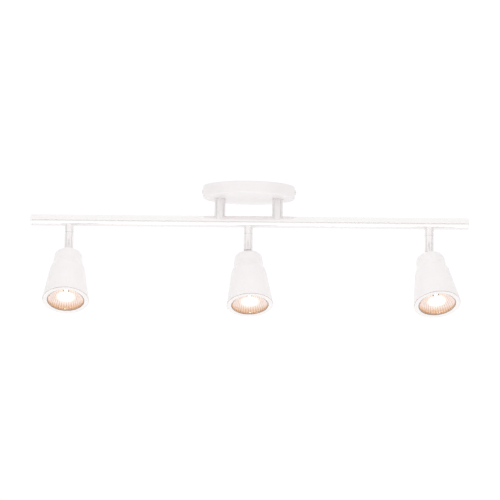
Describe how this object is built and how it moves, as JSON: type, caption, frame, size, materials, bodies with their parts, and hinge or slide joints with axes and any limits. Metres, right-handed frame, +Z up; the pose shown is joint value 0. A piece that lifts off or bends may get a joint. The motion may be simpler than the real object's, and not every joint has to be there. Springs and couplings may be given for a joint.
{
  "type": "ceiling spotlight bar",
  "caption": "Ceiling light: a round canopy carries a short horizontal round bar from which bullet-shaped spot heads hang on swivel stems and aim down and forward.",
  "frame": {"origin": "centre of the crossbar's upper face, which lies on the ceiling plane over the canopy's centre", "axes": "+Z up into the ceiling; +X along the bar to the right as seen from the front; the heads aim down and towards -Y"},
  "size_m": [0.608, 0.1343, 0.1809],
  "materials": {
    "white_paint": "satin white powder coat",
    "white_plastic": "satin white moulded ring",
    "zinc_steel": "bright zinc plate",
    "bright_steel": "nickel plate",
    "green_screw": "green dyed plate",
    "ceramic": "unglazed steatite",
    "black_insulation": "satin sleeve",
    "white_insulation": "satin sleeve",
    "warm_mirror": "faceted mirror coat, warm when lit",
    "quartz": "clear quartz",
    "clear_glass": "clear front glass"
  },
  "bodies": {
    "frame": {"canopy": "white_paint", "crossbar": "zinc_steel", "canopy_screws": "white_paint", "ground_screw": "green_screw", "terminal_block": "ceramic", "left_post": "white_paint", "right_post": "white_paint", "post_nipples": "zinc_steel", "post_nuts": "zinc_steel", "bar_tube": "white_paint", "left_end_cap": "white_paint", "right_end_cap": "white_paint", "bar_inserts": "zinc_steel", "live_wire": "black_insulation", "neutral_wire": "white_insulation", "left_collar": "white_paint", "middle_collar": "white_paint", "right_collar": "white_paint"},
    "left_arm": {"left_stem": "white_paint", "left_fork": "zinc_steel", "left_pivot_screws": "bright_steel"},
    "left_head": {"left_lug": "zinc_steel", "left_shade": "white_paint", "left_bezel": "white_plastic", "left_socket_bracket": "zinc_steel", "left_socket": "ceramic", "left_head_fasteners": "bright_steel"},
    "left_lamp": {"left_bulb_base": "ceramic", "left_bulb_pins": "bright_steel", "left_bulb_reflector": "warm_mirror", "left_bulb_capsule": "quartz", "left_bulb_cover": "clear_glass"},
    "middle_arm": {"middle_stem": "white_paint", "middle_fork": "zinc_steel", "middle_pivot_screws": "bright_steel"},
    "middle_head": {"middle_lug": "zinc_steel", "middle_shade": "white_paint", "middle_bezel": "white_plastic", "middle_socket_bracket": "zinc_steel", "middle_socket": "ceramic", "middle_head_fasteners": "bright_steel"},
    "middle_lamp": {"middle_bulb_base": "ceramic", "middle_bulb_pins": "bright_steel", "middle_bulb_reflector": "warm_mirror", "middle_bulb_capsule": "quartz", "middle_bulb_cover": "clear_glass"},
    "right_arm": {"right_stem": "white_paint", "right_fork": "zinc_steel", "right_pivot_screws": "bright_steel"},
    "right_head": {"right_lug": "zinc_steel", "right_shade": "white_paint", "right_bezel": "white_plastic", "right_socket_bracket": "zinc_steel", "right_socket": "ceramic", "right_head_fasteners": "bright_steel"},
    "right_lamp": {"right_bulb_base": "ceramic", "right_bulb_pins": "bright_steel", "right_bulb_reflector": "warm_mirror", "right_bulb_capsule": "quartz", "right_bulb_cover": "clear_glass"}
  },
  "joints": [
    {"name": "left_pan", "type": "hinge", "parent": "frame", "child": "left_arm", "pos_m": [-0.25, 0, -0.0652], "axis": [0, 0, 1], "range_deg": [-180.4, 169.6]},
    {"name": "left_tilt", "type": "hinge", "parent": "left_arm", "child": "left_head", "pos_m": [-0.25, 0, -0.0902], "axis": [-0.9956, -0.0941, 0], "range_deg": [-95.3, 34.7]},
    {"name": "left_lamp_twist", "type": "hinge", "parent": "left_head", "child": "left_lamp", "pos_m": [-0.24593, -0.0431, -0.16428], "axis": [0.0475, -0.5023, -0.8634], "range_deg": [0, 20]},
    {"name": "middle_pan", "type": "hinge", "parent": "frame", "child": "middle_arm", "pos_m": [0, 0, -0.0652], "axis": [0, 0, 1], "range_deg": [-183.9, 166.1]},
    {"name": "middle_tilt", "type": "hinge", "parent": "middle_arm", "child": "middle_head", "pos_m": [0, 0, -0.0902], "axis": [-0.988, -0.1547, 0], "range_deg": [-90.9, 39.1]},
    {"name": "middle_lamp_twist", "type": "hinge", "parent": "middle_head", "child": "middle_lamp", "pos_m": [0.0058, -0.03703, -0.16738], "axis": [0.0676, -0.4315, -0.8996], "range_deg": [0, 20]},
    {"name": "right_pan", "type": "hinge", "parent": "frame", "child": "right_arm", "pos_m": [0.25, 0, -0.0652], "axis": [0, 0, 1], "range_deg": [-187.3, 162.7]},
    {"name": "right_tilt", "type": "hinge", "parent": "right_arm", "child": "right_head", "pos_m": [0.25, 0, -0.0902], "axis": [-0.977, -0.213, 0], "range_deg": [-95.7, 34.3]},
    {"name": "right_lamp_twist", "type": "hinge", "parent": "right_head", "child": "right_lamp", "pos_m": [0.25933, -0.0428, -0.16398], "axis": [0.1088, -0.4988, -0.8599], "range_deg": [0, 20]}
  ]
}
